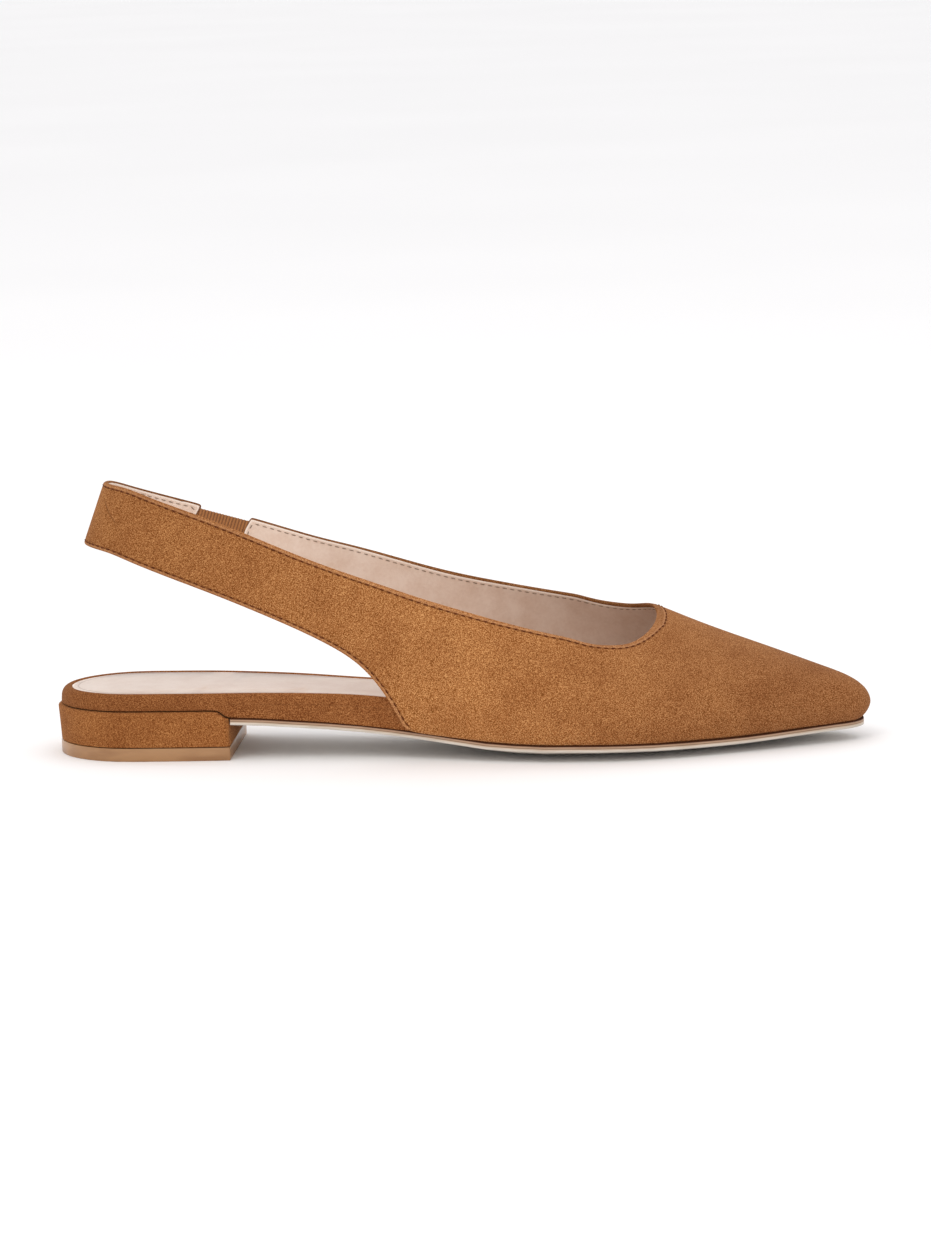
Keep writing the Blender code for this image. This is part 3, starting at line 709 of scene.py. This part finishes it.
def row_beside(run, skin, inset, tree):
    """Line on a skin at a fixed distance inside a run of its border."""
    row = []
    for i, vertex in enumerate(run):
        ahead = (run[min(i + 1, len(run) - 1)].co - run[max(i - 1, 0)].co).normalized()
        faces = [face for face in vertex.link_faces if face in skin]
        normal = sum((face.normal for face in faces), Vector()).normalized()
        centre = sum((face.calc_center_median() for face in faces), Vector()) / len(faces)
        inward = normal.cross(ahead)
        if inward.dot(centre - vertex.co) < 0:
            inward.negate()
        row.append(vertex.co + inward * inset)
    row = [point for point in row if tree.find(point)[2] > inset * ROW_CLEAR]
    for _ in range(ROW_SMOOTHING):
        row = row[:1] + [(a + 2 * b + c) / 4 for a, b, c in zip(row, row[1:], row[2:])] + row[-1:]
    return row


class FLAT_OT_stage(bpy.types.Operator):
    """Builds the pale floor, the soft lights and the camera"""

    bl_idname = "flat.stage"
    bl_label = "Stage"

    def execute(self, context):
        self.floor()
        self.lights(context)
        self.camera(context)
        return {"FINISHED"}

    def floor(self):
        bm = bmesh.new()
        bmesh.ops.create_grid(bm, x_segments=1, y_segments=1, size=FLOOR_REACH)
        mesh = bpy.data.meshes.new("floor")
        bm.to_mesh(mesh)
        bm.free()
        mesh.materials.append(MATERIALS["paper"])
        link("floor", mesh)

    def lights(self, context):
        world = bpy.data.worlds.new("studio")
        world.use_nodes = True
        sky = world.node_tree.nodes["Background"]
        feed(world.node_tree, sky, {"Color": linear(WORLD_TINT), "Strength": WORLD_STRENGTH})
        context.scene.world = world
        context.scene.view_settings.view_transform = "Standard"
        for name, (place, size, watts, tint) in LAMPS.items():
            light = bpy.data.lights.new(name, "AREA")
            light.shape = "DISK"
            light.size = size
            light.energy = watts
            light.color = linear(tint)[:3]
            lamp = link(name, light)
            lamp.location = place
            lamp.rotation_euler = (LAMP_AIM - Vector(place)).to_track_quat("-Z", "Y").to_euler()

    def camera(self, context):
        back = Vector((
            math.sin(CAMERA_AZIMUTH) * math.cos(CAMERA_ELEVATION),
            -math.cos(CAMERA_AZIMUTH) * math.cos(CAMERA_ELEVATION),
            math.sin(CAMERA_ELEVATION),
        ))
        right = (-back).cross(UP).normalized()
        turn = Matrix((right, right.cross(-back), back)).transposed().to_4x4()
        data = bpy.data.cameras.new("camera")
        data.sensor_width = SENSOR
        data.sensor_fit = "AUTO"
        data.lens = SENSOR * FOCAL_PIXELS / max(IMAGE_SIZE)
        data.clip_start = 0.05
        camera = link("camera", data)
        place = Matrix.Translation(CAMERA_TARGET + back * CAMERA_DISTANCE)
        camera.matrix_world = place @ turn @ Matrix.Rotation(CAMERA_ROLL, 4, "Z")
        context.scene.camera = camera


class FLAT_OT_upper(bpy.types.Operator):
    """Dresses the upper: suede outside, leather inside, and a pressed channel for each stitch row"""

    bl_idname = "flat.upper"
    bl_label = "Upper"

    def execute(self, context):
        sizes = context.scene.flat_sizes
        bm = copy_solid("upper")
        self.paint(bm)
        finishes = ("suede", "lining", "edge")
        piece = finish(bm, "suede_upper", finishes, replaced=("upper",), levels=sizes.smoothing)
        apply_modifiers(piece)
        STATE["upper"] = piece
        STATE["rows"] = self.press_channels(piece, sizes)
        return {"FINISHED"}

    def paint(self, bm):
        """Gives the skins their finishes and folds the suede over the edge between them."""
        outer, other = regions(bm)[:2]
        if self.width(other) > self.width(outer):
            outer = other
        outside = {v for f in outer for v in f.verts}
        rest = set(bm.faces) - set(outer)
        folded = {f for f in rest if any(v in outside for v in f.verts)}
        crest = {v for f in folded for v in f.verts} - outside
        turned = {f for f in rest - folded if any(v in crest for v in f.verts)}
        for face in rest:
            face.material_index = 2 if face in folded or face in turned else 1

    def width(self, faces):
        across = [v.co.y for f in faces for v in f.verts]
        return max(across) - min(across)

    def is_foot(self, edge, sole):
        """An edge that lies on the sole or the footbed, where the upper is lasted under."""
        middle = middle_of(edge)
        level = abs(direction_of(edge).z) < FOOT_CLIMB
        return sole.find_nearest(middle)[3] < FOOT_CLEARANCE or (level and middle.z < FOOT_TOP)

    def press_channels(self, piece, sizes):
        """Stores each point's distance to its folded edge, presses the channels and returns their rows."""
        sole = solid_tree("outsole")
        bm = bmesh.new()
        bm.from_mesh(piece.data)
        bm.normal_update()
        distance = bm.verts.layers.float.new("edge")
        for vertex in bm.verts:
            vertex[distance] = 1.0
        rows = {}
        for key, index, inset, depth in (
            ("outer", 0, sizes.edge_inset, sizes.groove),
            ("inner", 1, sizes.lining_inset, sizes.groove * LINING_GROOVE),
        ):
            skin = {face for face in bm.faces if face.material_index == index}
            border = [e for e in border_of(skin) if not self.is_foot(e, sole)]
            tree = edge_tree(border)
            runs = [run for run in chains(border) if len(run) > ROW_POINTS]
            rows[key] = [row_beside(run, skin, inset, tree) for run in runs]
            swell = inset * PUFF_PLACE
            for vertex in {v for face in skin for v in face.verts}:
                gap = tree.find(vertex.co)[2]
                vertex[distance] = gap
                puff = PUFF * depth * math.exp(-(((gap - swell) / swell) ** 2))
                press = depth * math.exp(-(((gap - inset) / CHANNEL) ** 2))
                vertex.co += vertex.normal * (puff - press)
        bm.to_mesh(piece.data)
        bm.free()
        return rows


class FLAT_OT_stitching(bpy.types.Operator):
    """Sews the rows along every folded edge, outside and on the lining"""

    bl_idname = "flat.stitching"
    bl_label = "Stitching"

    def execute(self, context):
        upper = STATE["upper"]
        surface = BVHTree.FromObject(upper, context.evaluated_depsgraph_get())
        for name, key, finish_key, width in (
            ("edge_stitches", "outer", "thread", 1.0),
            ("lining_stitches", "inner", "lining_thread", LINING_THREAD),
        ):
            bm = bmesh.new()
            for row in STATE["rows"][key]:
                stitch_row(bm, row, surface, context.scene.flat_sizes, width)
            if not bm.verts:
                raise RuntimeError(f"{name} has no stitches")
            finish(bm, name, (finish_key,))
        return {"FINISHED"}


class FLAT_OT_gore(bpy.types.Operator):
    """Weaves the ribs of the elastic gore and tucks its ends into the strap"""

    bl_idname = "flat.gore"
    bl_label = "Elastic gore"

    def execute(self, context):
        sizes = context.scene.flat_sizes
        bm = copy_solid("elastic_gore")
        tucked = bm.verts.layers.float.new("tucked")
        bm.normal_update()
        for face in [f for f in bm.faces if abs(f.normal.x) > END_FACE]:
            for vertex in face.verts:
                vertex[tucked] = math.copysign(1.0, face.normal.x)
        lengthwise = [e for e in bm.edges if abs(direction_of(e).x) > LENGTHWISE]
        bmesh.ops.subdivide_edges(bm, edges=lengthwise, cuts=GORE_CUTS, use_grid_fill=True)
        bm.normal_update()
        for vertex in bm.verts:
            place = vertex.co.x - RIB_SLANT * vertex.co.z
            rib = (math.cos(place / sizes.rib_pitch * math.tau) - 1) / 2
            vertex.co += vertex.normal * sizes.rib_depth * rib
            # Only the ends keep the full value, because the cuts between them share it out.
            if abs(vertex[tucked]) > 0.99:
                vertex.co += Vector((1.0, 0.0, -RIB_SLANT)) * vertex[tucked] * GORE_TUCK
        finish(bm, "ribbed_gore", ("elastic",), replaced=("elastic_gore",))
        return {"FINISHED"}


class FLAT_OT_footbed(bpy.types.Operator):
    """Covers the footbed with suede and rolls the suede up round the sock"""

    bl_idname = "flat.footbed"
    bl_label = "Footbed"

    def execute(self, context):
        bm = copy_solid("footbed")
        soften(bm, [e for e in bm.edges if is_sharp(e)], BED_ROUND)
        finish(bm, "suede_footbed", ("bed",), replaced=("footbed",), levels=1)
        self.roll(context.scene.flat_sizes.bed_roll)
        return {"FINISHED"}

    def roll(self, fullness):
        """Suede roll that rises from the footbed's shoulder to the sock, as far as the upper hides it."""
        sock = copy_solid("insole")
        border = [e for e in border_of(top_skin(sock)) if max(v.co.x for v in e.verts) < ROLL_FRONT]
        places = [v.co.copy() for v in max(chains(border), key=len)]
        sock.free()
        outward = self.outward(places)
        strip = bmesh.new()
        line = [strip.verts.new(place) for place in places]
        edges = [strip.edges.new(pair) for pair in zip(line, line[1:])]
        for step, (reach, height) in enumerate(ROLL_PROFILE):
            if step:
                made = bmesh.ops.extrude_edge_only(strip, edges=edges)["geom"]
                old = set(line)
                moved = [item for item in made if isinstance(item, bmesh.types.BMVert)]
                edges = [e for e in made if isinstance(e, bmesh.types.BMEdge) and not old & set(e.verts)]
                line = [min(moved, key=lambda v, at=v.co.copy(): (v.co - at).length) for v in line]
            for vertex, place, out in zip(line, places, outward):
                vertex.co = place + out * reach + UP * height * fullness
        bmesh.ops.recalc_face_normals(strip, faces=strip.faces)
        if sum(face.normal.z for face in strip.faces) < 0:
            bmesh.ops.reverse_faces(strip, faces=strip.faces)
        finish(strip, "suede_bed_roll", ("bed",), levels=2)

    def outward(self, places):
        """Level step from each place on the sock's edge to the footbed's side."""
        bed = solid_tree("footbed", join=False)
        middle = sum(places, Vector()) / len(places)
        found = []
        for i, place in enumerate(places):
            ahead = places[min(i + 1, len(places) - 1)] - places[max(i - 1, 0)]
            side = ahead.normalized().cross(UP).normalized()
            if side.dot(place - middle) < 0:
                side.negate()
            hit = bed.ray_cast(place - UP * SIDE_DEPTH, side)
            found.append(side * (min(hit[3], ROLL_REACH) if hit[0] else ROLL_USUAL))
        return found


class FLAT_OT_heel(bpy.types.Operator):
    """Covers the heel with suede, rounded at its corners and its top"""

    bl_idname = "flat.heel"
    bl_label = "Heel"

    def execute(self, context):
        bm = copy_solid("heel")
        low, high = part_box("heel")
        half = (low.z + high.z) / 2
        upright = [e for e in bm.edges if is_sharp(e) and abs(direction_of(e).z) > UPRIGHT]
        soften(bm, upright, HEEL_CORNER, segments=4, clamp=False)
        over = [e for e in bm.edges if is_sharp(e) and middle_of(e).z > half]
        soften(bm, over, HEEL_SHOULDER, segments=3, clamp=False)
        under = [e for e in bm.edges if is_sharp(e) and middle_of(e).z < half]
        soften(bm, under, HEEL_FOOT)
        finish(bm, "suede_heel", ("heel",), replaced=("heel",), levels=1)
        return {"FINISHED"}


class FLAT_OT_sock(bpy.types.Operator):
    """Lays the leather sock with its pale bead and pressed line"""

    bl_idname = "flat.sock"
    bl_label = "Sock"

    def execute(self, context):
        bm = copy_solid("insole")
        top = top_skin(bm)
        for face in set(bm.faces) - set(top):
            face.material_index = 1
        crease = bm.edges.layers.float.new("crease_edge")
        for edge in border_of(top):
            edge[crease] = 1.0
        piece = finish(bm, "leather_sock", ("sock", "cut"), replaced=("insole",), levels=2)
        apply_modifiers(piece)
        self.measure_edge(piece)
        return {"FINISHED"}

    def measure_edge(self, piece):
        """Stores each point's distance to the sock's cut edge."""
        bm = bmesh.new()
        bm.from_mesh(piece.data)
        distance = bm.verts.layers.float.new("edge")
        tree = edge_tree(border_of([face for face in bm.faces if face.material_index == 0]))
        for vertex in bm.verts:
            vertex[distance] = tree.find(vertex.co)[2]
        bm.to_mesh(piece.data)
        bm.free()


class FLAT_OT_sole(bpy.types.Operator):
    """Finishes the outsole's cut edge and lays a dark tube over it as painted shadow"""

    bl_idname = "flat.sole"
    bl_label = "Sole"

    def execute(self, context):
        bm = copy_solid("outsole")
        top = top_skin(bm)
        edge = [v.co.copy() for v in chains(border_of(top))[0]]
        share = bm.verts.layers.float.new("share")
        for vertex in {v for f in top for v in f.verts}:
            vertex[share] = 1.0
        finish(bm, "leather_outsole", ("sole",), replaced=("outsole",), smooth=False)
        self.seam(edge)
        return {"FINISHED"}

    def seam(self, points):
        """Dark tube in the gap where the upper and the footbed meet the sole: a painted shadow."""
        curve = bpy.data.curves.new("sole_seam", "CURVE")
        curve.dimensions = "3D"
        curve.bevel_depth = SEAM_RADIUS
        curve.bevel_resolution = 2
        if (points[0] - points[-1]).length < MERGE:
            points = points[:-1]
        middle = sum(points, Vector()) / len(points)
        run = curve.splines.new("POLY")
        run.points.add(len(points) - 1)
        run.use_cyclic_u = True
        for i, point in enumerate(points):
            ahead = (points[(i + 1) % len(points)] - points[i - 1]).normalized()
            inward = ahead.cross(UP).normalized()
            if inward.dot(middle - point) < 0:
                inward.negate()
            run.points[i].co = (*(point + inward * SEAM_INSET + UP * SEAM_RISE), 1.0)
        curve.materials.append(MATERIALS["ink"])
        piece = link("sole_seam", curve)
        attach(piece, BODY)


class FLAT_OT_lift(bpy.types.Operator):
    """Moulds the rubber lift with its edges just broken"""

    bl_idname = "flat.lift"
    bl_label = "Lift"

    def execute(self, context):
        bm = copy_solid("top_lift")
        soften(bm, [e for e in bm.edges if is_sharp(e)], LIFT_ROUND)
        finish(bm, "rubber_lift", ("rubber",), replaced=("top_lift",))
        return {"FINISHED"}


def make_materials(sizes, colours):
    """Fills MATERIALS with every finish of the shoe and the floor's."""

    def tones(key):
        names = [f"{key}_{tone}" for tone in ("dark", "middle", "light")]
        return [(*getattr(colours, name), 1.0) for name in names if hasattr(colours, name)]

    inset = sizes.edge_inset
    MATERIALS.update(
        suede=suede("napped_calf_suede", tones("suede"), creased=True, inset=inset),
        # The turned edge carries painted shade on the far side.
        edge=suede("turned_suede_edge", tones("edge"), turned=True),
        heel=suede("suede_heel_cover", tones("heel")),
        # The footbed's suede is darker than the upper's: painted shade.
        bed=suede("suede_footbed_cover_shaded", tones("bed")),
        # The lining carries painted shade towards the toe.
        lining=leather("lining_leather", tones("lining"), 0.5, bead=LINING_BEAD, toe_shaded=True),
        sock=leather(
            "sock_leather", tones("sock"), 0.48, pore=0.7 * MM, bead=SOCK_BEAD, line=sizes.sock_inset
        ),
        cut=leather("sock_cut_edge", tones("cut"), 0.55),
        thread=thread("edge_thread", tones("thread")),
        lining_thread=thread("lining_thread", tones("lining_thread")),
        elastic=elastic("covered_elastic", tones("elastic"), sizes.rib_pitch),
        rubber=rubber("lift_rubber", tones("rubber")),
        sole=sole_leather("sole_leather"),
        # A dark tube as painted shadow in the gap over the sole.
        ink=thread("sole_seam_ink", tones("ink")),
        paper=matt_paper("matt_paper"),
    )


class FLAT_PT_panel(bpy.types.Panel):
    """Sizes, colours and steps of the shoe"""

    bl_label = "Sling back flat"
    bl_idname = "FLAT_PT_panel"
    bl_space_type = "VIEW_3D"
    bl_region_type = "UI"
    bl_category = "Flat"

    def draw(self, context):
        for key in FlatSizes.__annotations__:
            self.layout.prop(context.scene.flat_sizes, key)
        for key in FlatColours.__annotations__:
            self.layout.prop(context.scene.flat_colours, key)
        for step in STEPS:
            self.layout.operator(step.bl_idname)


STEPS = (
    FLAT_OT_stage, FLAT_OT_upper, FLAT_OT_stitching, FLAT_OT_gore, FLAT_OT_footbed, FLAT_OT_heel,
    FLAT_OT_sock, FLAT_OT_sole, FLAT_OT_lift,
)
CLASSES = (FlatColours, FlatSizes, *STEPS, FLAT_PT_panel)


def register():
    for kind in CLASSES:
        bpy.utils.register_class(kind)
    bpy.types.Scene.flat_sizes = PointerProperty(type=FlatSizes)
    bpy.types.Scene.flat_colours = PointerProperty(type=FlatColours)


def unregister():
    del bpy.types.Scene.flat_sizes
    del bpy.types.Scene.flat_colours
    for kind in reversed(CLASSES):
        bpy.utils.unregister_class(kind)


def main():
    register()
    make_materials(bpy.context.scene.flat_sizes, bpy.context.scene.flat_colours)
    bpy.ops.flat.stage()
    bpy.ops.flat.upper()
    bpy.ops.flat.stitching()
    bpy.ops.flat.gore()
    bpy.ops.flat.footbed()
    bpy.ops.flat.heel()
    bpy.ops.flat.sock()
    bpy.ops.flat.sole()
    bpy.ops.flat.lift()


if __name__ == "__main__":
    main()
